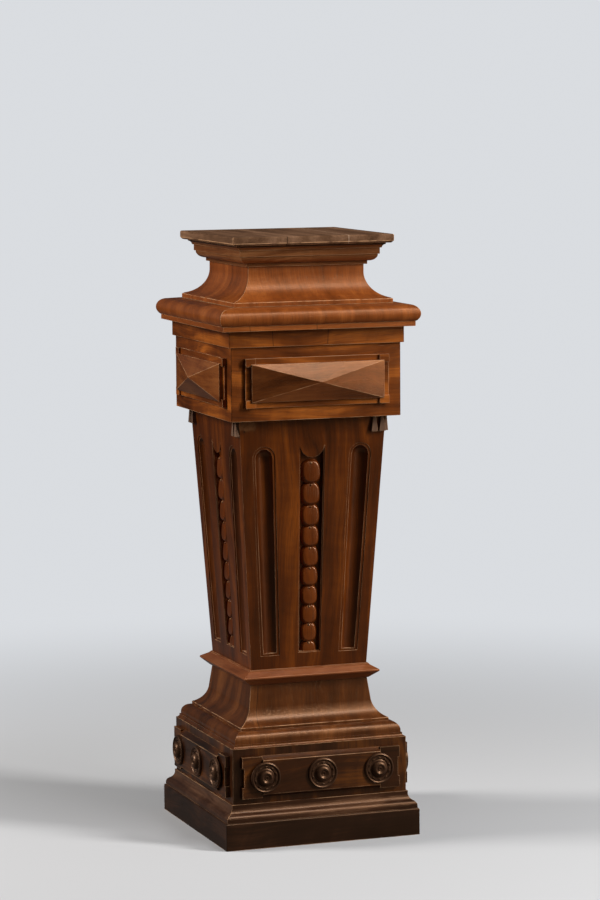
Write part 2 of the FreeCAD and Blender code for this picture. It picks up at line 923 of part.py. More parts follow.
board = size("panel_board")
slab = size("inner_board")
INNER_BOARDS = {
    "sub_top_board": (size("neck_half") - board, size("neck_level") - slab, size("neck_level")),
    "shoulder_board": (
        size("neck_foot_half") + size("small_fillet"), size("frieze_level"), size("shoulder_level"),
    ),
    "frieze_floor": (size("frieze_half") - board, size("shaft_level"), size("shaft_level") + slab),
    "waist_board": (size("shaft_low_half") - board, size("collar_level") - slab, size("collar_level")),
    "die_top_board": (size("foot_half") - board, size("surbase_level") - slab, size("surbase_level")),
    "bottom_board": (
        size("plinth_half") - size("plinth_board"), size("plinth_level") - slab, size("plinth_level"),
    ),
}
for name, (half, low, high) in INNER_BOARDS.items():
    keep(flat_board(name, half, low, high), name)


def corner_blocks(name, low_half, high_half, low, high):
    """Four softwood posts, one glued into each corner of a box that may taper."""
    width = size("glue_block")
    foot = (low_half - width, low_half, high_half - width, high_half)
    lay = FreeCAD.Rotation(Vector(1, 0, 0), Vector(0, 0, 1), Vector(0, 1, 0), "XYZ")
    posts = []
    for face, angle in FACES.items():
        spin = FreeCAD.Placement(Vector(), FreeCAD.Rotation(Vector(0, 0, 1), angle))
        stand = FreeCAD.Placement(Vector(0, 0, low.value), lay)
        posts.append(wedge("%s_%s" % (name, face), foot, foot, high - low, spin.multiply(stand)))
    return posts


shaft_in = size("shaft_low_half") - board
frieze_in = size("frieze_half") - board
die_in = size("die_half") - size("die_board")
blocks = corner_blocks(
    "shaft_post", shaft_in, size("shaft_top_half") - board, size("collar_level"), size("shaft_level"),
)
blocks += corner_blocks(
    "frieze_post", frieze_in, frieze_in, size("shaft_level") + slab, size("frieze_level"),
)
blocks += corner_blocks("die_post", die_in, die_in, size("plinth_level"), size("die_level"))
group("glue_blocks", blocks)


# ---- check everything, then write one file for each sub-part ---------------------------------------

doc.recompute()
for thing in doc.Objects:
    if "Invalid" in thing.State or "Error" in thing.State:
        raise RuntimeError("%s did not build: %s" % (thing.Label, thing.State))
for node in nodes:
    if node.Shape.isNull() or not node.Shape.isValid():
        raise RuntimeError("%s has no valid shape" % node.Label)
    if not node.Shape.Solids:
        raise RuntimeError("%s holds no solid" % node.Label)

os.makedirs("parts", exist_ok=True)
for node in nodes:
    node.Shape.exportStep("parts/%s.step" % node.Label)
print("sub-parts written:", len(nodes))
print("solids in all:", sum(len(node.Shape.Solids) for node in nodes))
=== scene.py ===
# %% [markdown]
# # A walnut pedestal, dressed for the studio
#
# The pedestal is a stack of four-sided boxes: a plinth, a base with turned rosettes, a coved foot, a
# tapering shaft with flutes and a strip of coins, a frieze with diamond-point blocks, a round
# shoulder, a coved neck and a moulded cap. The carcase arrives as ready solids with sharp, new edges.
# Every piece could be modelled afresh here, but the solids already have the right sizes. This lesson
# turns them into old furniture: the edges are softened, every board gets its own grain, and the
# carving is made again in full depth.

# %% Open the frame
import bpy
import bmesh
import math
import random
from mathutils import Matrix, Vector


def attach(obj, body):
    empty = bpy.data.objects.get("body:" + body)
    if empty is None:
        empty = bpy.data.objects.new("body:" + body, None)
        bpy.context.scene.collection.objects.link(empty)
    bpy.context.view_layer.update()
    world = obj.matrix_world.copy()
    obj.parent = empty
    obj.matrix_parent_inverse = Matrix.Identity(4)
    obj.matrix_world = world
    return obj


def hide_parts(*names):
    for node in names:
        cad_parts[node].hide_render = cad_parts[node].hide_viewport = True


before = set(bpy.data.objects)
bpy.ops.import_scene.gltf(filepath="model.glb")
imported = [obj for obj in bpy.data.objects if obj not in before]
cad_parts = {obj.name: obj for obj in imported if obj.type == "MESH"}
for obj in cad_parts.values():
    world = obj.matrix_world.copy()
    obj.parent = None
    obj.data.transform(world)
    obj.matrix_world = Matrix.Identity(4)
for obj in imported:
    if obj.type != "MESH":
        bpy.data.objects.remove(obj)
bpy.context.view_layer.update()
MM = 0.001
print("nodes in the frame:", len(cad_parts))

# %% [markdown]
# ## The camera
#
# The stand was photographed from about six and a half metres away with a long lens, slightly above
# the middle and a little to the left of the front. A long lens keeps the upright edges nearly
# parallel. The camera could be aimed with a tracking constraint, but three axes written out of a
# heading, a tilt and a small roll give the same view every time and need nothing to follow.

# %% Camera
HEADING = math.radians(19.76)
TILT = math.radians(6.54)
ROLL = math.radians(-0.39)
CAMERA_SPOT = (-2.1515, -6.0649, 1.4856)
FOCAL_LENGTH = 131.2
SENSOR_WIDTH = 36

look = Vector((
    math.sin(HEADING) * math.cos(TILT),
    math.cos(HEADING) * math.cos(TILT),
    -math.sin(TILT),
))
level = Vector((math.cos(HEADING), -math.sin(HEADING), 0))
rise = level.cross(look)
side = level * math.cos(ROLL) + rise * math.sin(ROLL)
above = rise * math.cos(ROLL) - level * math.sin(ROLL)
axes = Matrix((side, above, -look)).transposed().to_4x4()

lens = bpy.data.cameras.new("camera")
lens.lens = FOCAL_LENGTH
lens.sensor_width = SENSOR_WIDTH
camera = bpy.data.objects.new("camera", lens)
bpy.context.collection.objects.link(camera)
camera.matrix_world = Matrix.Translation(CAMERA_SPOT) @ axes
bpy.context.scene.camera = camera
bpy.context.scene.view_settings.view_transform = "Standard"
print("camera stands", round(camera.location.length, 2), "m from the foot of the stand")

# %% [markdown]
# ## Writing materials as sums
#
# A material is a net of small nodes, and drawing one node at a time in code soon hides the idea.
# Here a `Wire` stands for one value on its way through the net. Adding or multiplying wires adds
# the Math nodes, so a grain pattern reads like a formula.

# %% Wires
class Wire:
    """One value on its way through a material."""

    def __init__(self, recipe, socket):
        self.recipe = recipe
        self.socket = socket

    def sum(self, operation, first, second):
        return self.recipe.node("ShaderNodeMath", {"operation": operation}, {0: first, 1: second})

    def __add__(self, other):
        return self.sum("ADD", self, other)

    def __radd__(self, other):
        return self.sum("ADD", other, self)

    def __sub__(self, other):
        return self.sum("SUBTRACT", self, other)

    def __rsub__(self, other):
        return self.sum("SUBTRACT", other, self)

    def __mul__(self, other):
        return self.sum("MULTIPLY", self, other)

    def __rmul__(self, other):
        return self.sum("MULTIPLY", other, self)

    def __pow__(self, other):
        return self.sum("POWER", self, other)

    def size(self):
        return self.sum("ABSOLUTE", self, 0)

    def most(self, other):
        return self.sum("MAXIMUM", self, other)

    def between(self, low, high):
        """0 below low, 1 above high, and a soft step from one to the other."""
        sockets = {"Value": self, "From Min": low, "From Max": high}
        return self.recipe.node("ShaderNodeMapRange", {"interpolation_type": "SMOOTHSTEP"}, sockets)


print("wires can be added, subtracted, multiplied and raised to a power")

# %% [markdown]
# ## Recipes
#
# A `Recipe` holds the nodes of one material, or of the world, and the few things that all patterns
# are made of: a position, noise, a colour ramp, and one colour blended over another. Every node that
# isn't a sum comes from its one method, `node`, so that a setting or a link has one place only.

# %% Recipes
def linear(value):
    """A colour channel from 0 to 255, as seen on a screen, as the amount of light it stands for."""
    value = value / 255
    return value / 12.92 if value < 0.04045 else ((value + 0.055) / 1.055) ** 2.4


def stain(red, green, blue):
    return (linear(red), linear(green), linear(blue), 1)


class Recipe:
    """The nodes of a material or a world."""

    def __init__(self, owner):
        owner.use_nodes = True
        self.owner = owner
        self.tree = owner.node_tree
        self.surface = self.tree.nodes.get("Principled BSDF")

    def feed(self, socket, value):
        if isinstance(value, Wire):
            self.tree.links.new(value.socket, socket)
        else:
            socket.default_value = value

    def node(self, kind, settings, sockets, out=0):
        """Add one node: its settings first, then a value or a wire for each socket named."""
        node = self.tree.nodes.new(kind)
        for name, value in settings.items():
            if name == "stops":
                for place, (position, colour) in enumerate(value):
                    stops = node.color_ramp.elements
                    stop = stops[place] if place < 2 else stops.new(position)
                    stop.position = position
                    stop.color = colour
            else:
                setattr(node, name, value)
        for name, value in sockets.items():
            self.feed(node.inputs[name], value)
        return Wire(self, node.outputs[out])

    def attribute(self, name, out="Fac"):
        return self.node("ShaderNodeAttribute", {"attribute_name": name}, {}, out)

    def parts(self, vector):
        """The three numbers of a position."""
        split = self.node("ShaderNodeSeparateXYZ", {}, {0: vector})
        return [Wire(self, socket) for socket in split.socket.node.outputs]

    def spot(self):
        """Where a point lies on the object, in metres."""
        return self.parts(self.node("ShaderNodeTexCoord", {}, {}, "Object"))

    def place(self, x, y, z):
        return self.node("ShaderNodeCombineXYZ", {}, {0: x, 1: y, 2: z})

    def noise(self, place, detail=2.0, roughness=0.5):
        sockets = {"Vector": place, "Scale": 1.0, "Detail": detail, "Roughness": roughness}
        return self.node("ShaderNodeTexNoise", {}, sockets)

    def ramp(self, amount, stops):
        return self.node("ShaderNodeValToRGB", {"stops": stops}, {0: amount})

    def blend(self, amount, first, second):
        """first where amount is 0, second where it is 1."""
        sockets = {0: amount, 6: first, 7: second}
        return self.node("ShaderNodeMix", {"data_type": "RGBA"}, sockets, 2)

    def finish(self, colour, roughness, height=None, depth=0.0, **constants):
        """Feed the surface; height makes fine relief of the given depth in metres."""
        self.feed(self.surface.inputs["Base Color"], colour)
        self.feed(self.surface.inputs["Roughness"], roughness)
        if height is not None:
            bump = self.node("ShaderNodeBump", {}, {"Height": height, "Strength": 1.0, "Distance": depth})
            self.feed(self.surface.inputs["Normal"], bump)
        for name, value in constants.items():
            self.surface.inputs[name.replace("_", " ")].default_value = value
        return self.owner


print("a mid brown is this much light:", [round(amount, 3) for amount in stain(114, 56, 17)[:3]])

# %% [markdown]
# ## Floor and backdrop
#
# Photographers put furniture on a sheet of paper that curves up behind it, so that no line crosses
# the picture. The sheet could be one bent plane; here the floor stays flat and very large, and away
# from the stand it melts into the pale tone of the air. Only the camera sees the pale paper. Light
# that bounces from the floor meets a dark one, because old polish in a dim room has deep shadows, and
# the stand has no metal or glass in which the paper would show.

# %% Floor
FLOOR_REACH = 30
AIR = (0.70, 0.72, 0.75, 1)
PAPER_SEEN = (0.62, 0.63, 0.65, 1)
PAPER_LIT = (0.09, 0.09, 0.09, 1)
MELT_START, MELT_END = 0.6, 2.6

floor_mesh = bpy.data.meshes.new("floor")
sheet = bmesh.new()
bmesh.ops.create_grid(sheet, x_segments=1, y_segments=1, size=FLOOR_REACH)
sheet.to_mesh(floor_mesh)
sheet.free()
floor = bpy.data.objects.new("floor", floor_mesh)
bpy.context.collection.objects.link(floor)

paper = Recipe(bpy.data.materials.new("floor paper"))
reach_x, reach_y, _ = paper.spot()
distance = (reach_x * reach_x + reach_y * reach_y) ** 0.5
camera_ray = paper.node("ShaderNodeLightPath", {}, {}, "Is Camera Ray")
paper.finish(paper.blend(camera_ray, PAPER_LIT, PAPER_SEEN), 0.85)
matt = Wire(paper, paper.surface.outputs[0])
glow = paper.node("ShaderNodeEmission", {}, {"Color": AIR, "Strength": 1.0})
melted = camera_ray * distance.between(MELT_START, MELT_END)
melt = paper.node("ShaderNodeMixShader", {}, {0: melted, 1: matt, 2: glow})
paper.feed(paper.tree.nodes["Material Output"].inputs[0], melt)
floor_mesh.materials.append(paper.owner)
print("the paper melts into the air from", MELT_START, "to", MELT_END, "m around the stand")

# %% [markdown]
# ## The air
#
# The air behind the stand is a plain pale tone. As light it stays weak, or it would fill the
# shadows under the blocks and in the flutes, which are nearly black on the real stand. A sky picture
# would put bright windows into the polish, so a plain colour is used.

# %% World
AIR_LIGHT = (0.9, 0.93, 1, 1)
AIR_STRENGTH = 0.05

sky = Recipe(bpy.data.worlds.new("studio air"))
bpy.context.scene.world = sky.owner
background = sky.tree.nodes["Background"]
sky.feed(background.inputs["Color"], AIR_LIGHT)
sky.feed(background.inputs["Strength"], AIR_STRENGTH)
lit = Wire(sky, background.outputs[0])
seen = sky.node("ShaderNodeBackground", {}, {"Color": AIR, "Strength": 1.0})
ray = sky.node("ShaderNodeLightPath", {}, {}, "Is Camera Ray")
choice = sky.node("ShaderNodeMixShader", {}, {0: ray, 1: lit, 2: seen})
sky.feed(sky.tree.nodes["World Output"].inputs[0], choice)
print("the air lights the stand with a strength of", AIR_STRENGTH)

# %% [markdown]
# ## Lamps
#
# Soft rectangular lamps light the stand, as a studio's boxes do. The tall key lamp stands to the
# right, half way round from the front, so that every raised form throws a short shadow to the left.
# A weak low lamp beside it gives the facets that lean to the right their shine. The side lamp stands
# behind on the left and lights the left face, and a small one above lights the ledges. One large
# lamp would be simpler, but its soft light would take the edge off the mouldings.

# %% Lamps
def soft_lamp(name, place, aim, size, power, colour):
    """A rectangular lamp of size (width, height) at place, facing aim."""
    lamp = bpy.data.lights.new(name, "AREA")
    lamp.shape = "RECTANGLE"
    lamp.size, lamp.size_y = size
    lamp.energy = power
    lamp.color = colour
    holder = bpy.data.objects.new(name, lamp)
    bpy.context.collection.objects.link(holder)
    holder.location = place
    holder.rotation_euler = (Vector(aim) - Vector(place)).to_track_quat("-Z", "Y").to_euler()
    print(name, "of", power, "W stands", round(Vector(place).length, 1), "m away")


WARM = (1, 0.98, 0.95)
WARMER = (1, 0.97, 0.93)
WHITE = (1, 1, 1)
soft_lamp("key lamp", (2.4, -2.1, 2.4), (0, 0, 0.7), size=(0.6, 1.7), power=116, colour=WARM)
soft_lamp("low lamp", (2.3, -2.4, 1.0), (0, 0, 0.8), size=(0.4, 1.0), power=11, colour=WARM)
soft_lamp("side lamp", (-2.9, 0.9, 2.2), (0, 0, 0.7), size=(0.8, 1.6), power=100, colour=WARMER)
soft_lamp("top lamp", (0.9, -1.7, 3.4), (0, 0, 0.9), size=(1.2, 0.9), power=30, colour=WHITE)

# %% [markdown]
# ## Old French-polished walnut
#
# Walnut has long brown stripes, softer clouds where the fibres lean, a silky ripple across the
# grain, and fine open pores like pencil strokes. Photographs of wood could be used, but a pattern
# made of noise has the right scale on every board and never repeats. Each board carries its own
# grain coordinates: the first number runs along its fibres, the other two across them. Noise that is
# stretched along the first number becomes stripes.
#
# One more mark rides on the mesh. It is 1 on the softened edges, where the polish has gone to paler
# wood and a painted highlight lies along them, and on the upward ledges at the foot of the shaft as
# a painted highlight. Below 0 it is dirt in open joints and painted shade on one facet of each block.
# The reflections are tinted amber: an untinted polish looked greyer here than the photograph does.

# %% The walnut finish
# Pale for bare wood on the edges and for painted highlights.
PALE_WOOD_AND_HIGHLIGHT = stain(206, 158, 116)
# Dark for dirt in joints and cracks, and for painted shade and shadow.
DIRT_AND_SHADE = stain(14, 8, 5)
AMBER_SHINE = (1, 0.52, 0.26, 1)
RELIEF = 0.00025


def walnut(name, dark, mid, light, bold=1.0, cloud=0.5, wear_and_highlight=0.6, gloss=0.3, coat=0.12, shine=0.7,
           marks=None):
    """Polished walnut in three tones. Bold stripes, clouds, pale edges (bare wood and painted highlight)
    and roughness (gloss) can be set.
    """
    recipe = Recipe(bpy.data.materials.new(name))
    along, across, deep = recipe.parts(recipe.attribute("grain", "Vector"))

    def figure(along_rate, across_rate, detail, roughness=0.5, sway=None):
        """Noise that changes so many times in a metre along the fibres, and across them."""
        aside = across * across_rate if sway is None else across * across_rate + sway
        return recipe.noise(recipe.place(along * along_rate, aside, deep * across_rate), detail, roughness)

    drift = figure(2.2, 5, 2) - 0.5
    stripes = figure(1.4, 44, 6, 0.62, drift * 8)
    clouds = figure(5, 14, 3, 0.5, drift * 4)
    silk = recipe.noise(recipe.place(along * 75 + drift * 12, across * 7, deep * 7), 2)
    pores = figure(38, 950, 1, 0.4).between(0.58, 0.68)
    fibres = figure(6, 330, 2, 0.6, drift * 30)
    tone = (stripes - 0.5) * (1.3 * bold) + (clouds - 0.5) * (1.3 * cloud) + (silk - 0.5) * 0.2
    tone = tone + (fibres - 0.5) * 0.4 + 0.5
    colour = recipe.ramp(tone, [(0.15, dark), (0.5, mid), (0.85, light)])
    pore_colour = tuple(0.5 * channel for channel in dark[:3]) + (1,)
    colour = recipe.blend(pores * 0.4, colour, pore_colour)

    # Above 0 the colour turns pale, for bare wood and painted highlight; below 0 it turns dark, for dirt
    # in joints and painted shade.
    edge = recipe.attribute("marks_and_painted_light")
    marks_and_painted_light = edge.most(0) * figure(14, 60, 3, 0.6).between(0.3, 0.6) * wear_and_highlight
    colour = recipe.blend(marks_and_painted_light, colour, PALE_WOOD_AND_HIGHLIGHT)
    colour = recipe.blend((edge * -0.85).most(0), colour, DIRT_AND_SHADE)
    if marks:
        colour = marks(recipe, colour)
    roughness = clouds * 0.12 + marks_and_painted_light * 0.15 + pores * 0.1 + (gloss - 0.06)
    height = stripes * 0.25 - pores * 0.2 + clouds
    return recipe.finish(colour, roughness, height, RELIEF, Coat_Weight=coat, Coat_Roughness=0.15,
                         Specular_IOR_Level=shine, Specular_Tint=AMBER_SHINE)


print("relief of the grain:", RELIEF / MM, "mm")

# %% [markdown]
# ## Joints, cracks and a scar
#
# The top is made of two boards with a pale joint between them and a split in its front edge, and the
# joint under it gets a dark line of painted shadow. Fine cracks cross the shrunken mouldings. Near
# the left end of the front, two carved drops are lost, and their place shows bare wood, old glue and
# the hole of a pin. These marks could be cut into the mesh, but most are under a millimetre wide, so
# they are drawn: each is a line or a patch on the object's own coordinates, and all but the two joints
# of the top are kept to the front face.

# %% Marks
TOP_SEAM, TOP_SEAM_LEAN = 0.0763, 0.0328
TOP_SPLIT = -0.0547
TOP_FRONT, FRONT = 0.155, 0.1
TOP_JOINT = min(vertex.co.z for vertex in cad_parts["top_board"].data.vertices)
SCAR_PLACE, SCAR_FOOT = -0.128, 0.797
PIN_X, PIN_Z = 0.1393, 0.8048


def near(value, centre, half):
    """1 on a line and 0 beside it."""
    return 1 - (value - centre).size().between(half, half * 1.6)


def in_front(y, depth, fade=0.01):
    """1 on the part of the stand that lies further forward than depth."""
    return (-depth - y).between(0, fade)


def top_marks(recipe, colour):
    """The pale joint of the two boards that make the top, and a split in its front edge."""
    x, y, _ = recipe.spot()
    joint = near(x - y * TOP_SEAM_LEAN, TOP_SEAM, 0.0004)
    colour = recipe.blend(joint * 0.8, colour, stain(206, 178, 152))
    split = near(x, TOP_SPLIT, 0.0006) * in_front(y, TOP_FRONT, 0.004)
    return recipe.blend(split * 0.9, colour, stain(16, 9, 5))


def painted_joint_shadow(recipe, colour):
    """A dark line of painted shadow in the joint under the top board."""
    height = recipe.spot()[2]
    return recipe.blend(near(height, TOP_JOINT, 0.003) * 0.9, colour, DIRT_AND_SHADE)


def scar_marks(recipe, colour):
    """Old glue and bare wood where the lost drops sat, with the hole of a pin."""
    x, y, z = recipe.spot()
    ragged = recipe.noise(recipe.place(x * 90, y * 90, z * 60), 3) * 0.012
    blots = recipe.noise(recipe.place(x * 160, y * 160, z * 160), 3).between(0.25, 0.6)
    above_foot = (z - ragged).between(SCAR_FOOT, SCAR_FOOT + 0.006)
    patch = near(x + ragged, SCAR_PLACE, 0.013) * above_foot * in_front(y, FRONT)
    colour = recipe.blend(patch * (blots * 0.4 + 0.25), colour, stain(128, 86, 52))
    from_pin = ((x + PIN_X) ** 2 + (z - PIN_Z) ** 2) ** 0.5
    hole = (1 - from_pin.between(0.0012, 0.002)) * in_front(y, FRONT)
    return recipe.blend(hole, colour, stain(10, 6, 4))


def crack_marks(*cracks):
    """Fine dark cracks on the front face: each is (across, lean, low, high)."""
    def draw(recipe, colour):
        x, y, z = recipe.spot()
        for across, lean, low, high in cracks:
            line = near(x - (z - low) * lean, across, 0.0005)
            line = line * (z - low).between(0, 0.002) * (high - z).between(0, 0.002) * in_front(y, FRONT)
            colour = recipe.blend(line * 0.9, colour, DIRT_AND_SHADE)
        return colour
    return draw


shoulder_cracks = crack_marks((-0.0064, -0.06, 1.0, 1.012), (-0.1416, -0.1, 1.0, 1.012))
rail_cracks = crack_marks((-0.0895, -0.06, 0.969, 1.001), (0.021, 0.05, 0.97, 1.0))
foot_cracks = crack_marks((-0.1156, 0.121, 0.226, 0.304))
print("the top board lies on the cap", round(TOP_JOINT, 4), "m above the floor")

# %% [markdown]
# ## Fourteen shades of one polish
#
# The real stand isn't one brown. The top is greyish, the neck and the frieze are golden, and the
# courses get darker towards the floor. One material with a gradient could do this, but the
# shade changes from board to board, not smoothly, so each course has a finish of its own, from the
# same recipe. The stains are its dark, middle and light tones.

# %% Finishes
FINISHES = {
    "top": walnut("top walnut", stain(64, 42, 28), stain(104, 74, 53), stain(142, 107, 82), cloud=0.3,
                  wear_and_highlight=0.8, gloss=0.62, coat=0.0, shine=0.12, marks=top_marks),
    "cap": walnut("cap walnut", stain(62, 32, 14), stain(110, 62, 30), stain(156, 102, 60), bold=0.9,
                  wear_and_highlight=0.95, marks=painted_joint_shadow),
    "upper": walnut("upper walnut", stain(84, 37, 9), stain(132, 66, 23), stain(174, 98, 42),
                    bold=0.65, wear_and_highlight=0.85, gloss=0.36, coat=0.04, marks=shoulder_cracks),
    "frieze": walnut("frieze walnut", stain(66, 28, 8), stain(114, 56, 17), stain(172, 94, 32),
                     bold=0.8, cloud=1.3, wear_and_highlight=0.9, marks=rail_cracks),
    "diamond": walnut("diamond walnut", stain(72, 33, 10), stain(114, 58, 22), stain(150, 88, 42),
                      bold=0.7, cloud=0.8, gloss=0.28, shine=0.9),
    "drop": walnut("drop walnut", stain(56, 40, 32), stain(100, 76, 62), stain(140, 110, 92),
                   bold=0.5, cloud=0.4, gloss=0.4, coat=0.05),
    "shaft": walnut("shaft walnut", stain(44, 15, 2), stain(82, 35, 5), stain(126, 62, 12),
                    bold=0.9, cloud=0.6, wear_and_highlight=0.8, marks=scar_marks),
    "coin": walnut("coin walnut", stain(60, 24, 6), stain(98, 44, 10), stain(130, 64, 18),
                   bold=0.5, cloud=0.4, gloss=0.28, coat=0.2),
    "collar": walnut("collar walnut", stain(90, 44, 20), stain(132, 72, 38), stain(160, 98, 58),
                     bold=0.8),
    "lower": walnut("lower walnut", stain(42, 18, 5), stain(88, 44, 15), stain(134, 78, 36),
                    bold=0.6, cloud=0.7, wear_and_highlight=0.95, shine=0.9, marks=foot_cracks),
    "die": walnut("die walnut", stain(26, 12, 5), stain(56, 28, 13), stain(112, 62, 22), bold=0.7,
                  cloud=1.2),
    "base": walnut("base walnut", stain(30, 14, 7), stain(60, 34, 21), stain(108, 74, 52), bold=0.9,
                   cloud=0.8, wear_and_highlight=0.95),
    "plinth": walnut("plinth walnut", stain(16, 7, 4), stain(34, 18, 11), stain(74, 44, 28),
                     bold=0.7, cloud=0.9, wear_and_highlight=0.95, gloss=0.34),
    "rosette": walnut("rosette walnut", stain(24, 14, 9), stain(58, 37, 25), stain(98, 70, 52),
                      bold=0.4, cloud=0.5, gloss=0.38, coat=0.05),
}
print("finishes:", ", ".join(FINISHES))

# %% [markdown]
# ## Sorting the boards
#
# A ring of moulding is four lengths that meet at mitred corners, and its node holds all four. The
# solids stay as they are, so each is copied: the loose triangles are merged, and flat ones are
# joined into whole faces. Merging a whole node at once would weld boards that touch at a mitre, so
# the triangles are first sorted by the side of the stand on which their board lies.

# %% Sorting
FACES = {"right": 0, "back": 90, "left": 180, "front": 270}
BELOW_SURFACE = 0.4 * MM
SAME_POINT = 0.002 * MM
SAME_PLANE = math.radians(0.4)


def side_of(point):
    """Which of the four faces of the stand a point belongs to."""
    turn = math.degrees(math.atan2(point.y, point.x)) % 360
    return min(FACES, key=lambda face: abs((turn - FACES[face] + 180) % 360 - 180))


def from_face(face):
    """Turns a direction or a point from this face to the right face, where X points outwards."""
    return Matrix.Rotation(-math.radians(FACES[face]), 3, "Z")


def solids_by_side(node, whole):
    """Copy a solid's triangles, sorted by side, each as a merged mesh of whole faces."""
    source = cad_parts[node].data
    meshes = {}
    for polygon in source.polygons:
        inside = polygon.center - polygon.normal * BELOW_SURFACE
        face = "right" if whole else side_of(inside)
        if face not in meshes:
            meshes[face] = bmesh.new()
        corners = [meshes[face].verts.new(source.vertices[i].co) for i in polygon.vertices]
        meshes[face].faces.new(corners)
    for mesh in meshes.values():
        bmesh.ops.remove_doubles(mesh, verts=mesh.verts, dist=SAME_POINT)
        bmesh.ops.dissolve_limit(mesh, angle_limit=SAME_PLANE, verts=mesh.verts, edges=mesh.edges)
    return meshes


print("faces of the stand, in degrees from +X:", FACES)

# %% [markdown]
# ## Soft edges
#
# The solids have knife-sharp edges, which catch no light. On the real stand each edge is a narrow
# rounded band, the brightest line in the picture. A Bevel modifier could round them, but the
# operator returns the new faces, and so they can be made pale in the same step: bare wood where the
# polish has gone, and a painted highlight.

# %% Softening
SHARP = math.radians(24)
SHAFT_LEDGES = 0.42


def soften(mesh, arris, seams, painted_ledge_highlight):
    """Bevel the outward edges by arris and make the new narrow faces pale: bare wood and a painted
    highlight.

    With seams, the edges along a mitre are marked as open joints instead. If the ledges are asked for,
    small ledges that face upwards at the foot of the shaft are made pale as well: a painted highlight
    where light falls on them.
    """
    marks_and_painted_light = mesh.faces.layers.float.new("marks_and_painted_light")
    edges = [e for e in mesh.edges if e.is_manifold and e.is_convex and e.calc_face_angle(0) > SHARP]
    made = bmesh.ops.bevel(mesh, geom=edges, offset=arris, offset_type="OFFSET", affect="EDGES",
                           segments=2, profile=0.5, material=-1, clamp_overlap=True)
    for face in made["faces"]:
        middle = face.calc_center_median()
        open_joint = seams and abs(abs(middle.x) - abs(middle.y)) < 2 * arris
        # 1 makes a bevel pale, for bare wood and a painted highlight; -1 is dirt in an open joint.
        face[marks_and_painted_light] = -1.0 if open_joint else 1.0
    # Painted highlight: upward ledges at the foot of the shaft turn pale where light falls on them.
    for face in mesh.faces:
        if painted_ledge_highlight and face.normal.z > 0.7 and face.calc_center_median().z < SHAFT_LEDGES:
            face[marks_and_painted_light] = 1.0


print("edges sharper than", round(math.degrees(SHARP)), "degrees are softened")

# %% [markdown]
# ## Grain and painted shade on facets
#
# Every board was cut from another place in a tree, so each gets its own shift into the pattern. For
# upright grain the distance outwards is taken off the height, which makes the stripes run on over
# each ledge and curve of a moulding.
#
# On each diamond-point block in the photograph one facet is much darker than these lamps make it,
# a shade that a different studio light would change. Veneer can look dull where its fibres lean
# away, but a different studio light would do the same, so the cause is a guess. That shade is
# painted into the facet's colour here, and it stays under any other light. On the two faces that the
# photograph hides, the choice of the facet is a guess.

# %% Grain
TREE = 4
LEDGE_DRIFT = 0.35
# The facet of each block that gets painted shade, and how far its colour turns dark.
PAINTED_SHADE_FACETS = {"right": (0, -1), "back": (1, 0), "left": (0, -1), "front": (-1, 0)}
PAINTED_SHADE = -0.5


def lay_grain(mesh, face, direction, seed):
    """Give each point its place in the board it was cut from: along the fibres first."""
    layer = mesh.verts.layers.float_vector.new("grain")
    dice = random.Random(seed)
    shift = Vector([dice.uniform(-TREE, TREE) for _ in range(3)])
    turn = from_face(face)
    for vertex in mesh.verts:
        out, along, up = turn @ vertex.co
        spot = (up - out, along, out * LEDGE_DRIFT) if direction == "up" else (along, up, out)
        vertex[layer] = Vector(spot) + shift


def paint_facet_shade(mesh, face):
    """Paint shade into the colour of one facet of a diamond point, to match the photograph."""
    marks_and_painted_light = mesh.faces.layers.float["marks_and_painted_light"]
    turn = from_face(face)
    shade_along, shade_up = PAINTED_SHADE_FACETS[face]
    for facet in mesh.faces:
        out, along, up = turn @ facet.normal
        if facet[marks_and_painted_light] == 0 and out > 0.7 and along * shade_along + up * shade_up > 0.05:
            facet[marks_and_painted_light] = PAINTED_SHADE


print("boards are taken from a block of", 2 * TREE, "m")

# %% [markdown]
# ## Putting a board together
#
# The lengths of a course are joined again into one piece, which stands for the solid it was copied
# from. A weighted-normal modifier keeps the broad faces flat in the light and lets only the narrow
# bands turn. More bevel segments would do the same with far more faces.

# %% Dressing
def join_meshes(meshes):
    """One mesh out of several, with their marks kept."""
    whole = bmesh.new()
    for mesh in meshes:
        part = bpy.data.meshes.new("part")
        mesh.to_mesh(part)
        mesh.free()
        whole.from_mesh(part)
        bpy.data.meshes.remove(part)
    return whole


def show(mesh, name, finish, nodes, crease=32):
    """Make the mesh an object that stands for its nodes and rides on the stand."""
    data = bpy.data.meshes.new(name)
    mesh.to_mesh(data)
    mesh.free()
    data.shade_smooth()
    data.set_sharp_from_angle(angle=math.radians(crease))
    data.materials.append(FINISHES[finish])
    piece = bpy.data.objects.new(name, data)
    bpy.context.collection.objects.link(piece)
    weights = piece.modifiers.new("flat faces lead", "WEIGHTED_NORMAL")
    weights.keep_sharp = True
    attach(piece, "root")
    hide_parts(*nodes)


def dress(node, finish, direction, arris, whole=False, seams=False, painted_ledge_highlight=False):
    """The usual treatment of a board: softened edges, grain, polish."""
    meshes = []
    for face, mesh in solids_by_side(node, whole).items():
        soften(mesh, arris * MM, seams, painted_ledge_highlight)
        lay_grain(mesh, face, direction, node + face)
        # Painted shade on one facet of each diamond block.
        if finish == "diamond":
            paint_facet_shade(mesh, face)
        meshes.append(mesh)
    show(join_meshes(meshes), "fine_" + node, finish, [node])


# %% [markdown]
# ## The courses, from the plinth to the cap
#
# The boards of the shaft, the coves and the die are veneered with upright grain, as the figure in
# the light shows. The surbase and the round shoulder are cross-banded: their grain runs up and over
# the profile, so that the veneer can bend round it. The plinth, the frieze and the small mouldings
# are cut from the length of the wood, and the fibres of the top run from front to back.
# Each course could be named board by board, but a course has one treatment, so a table is enough.

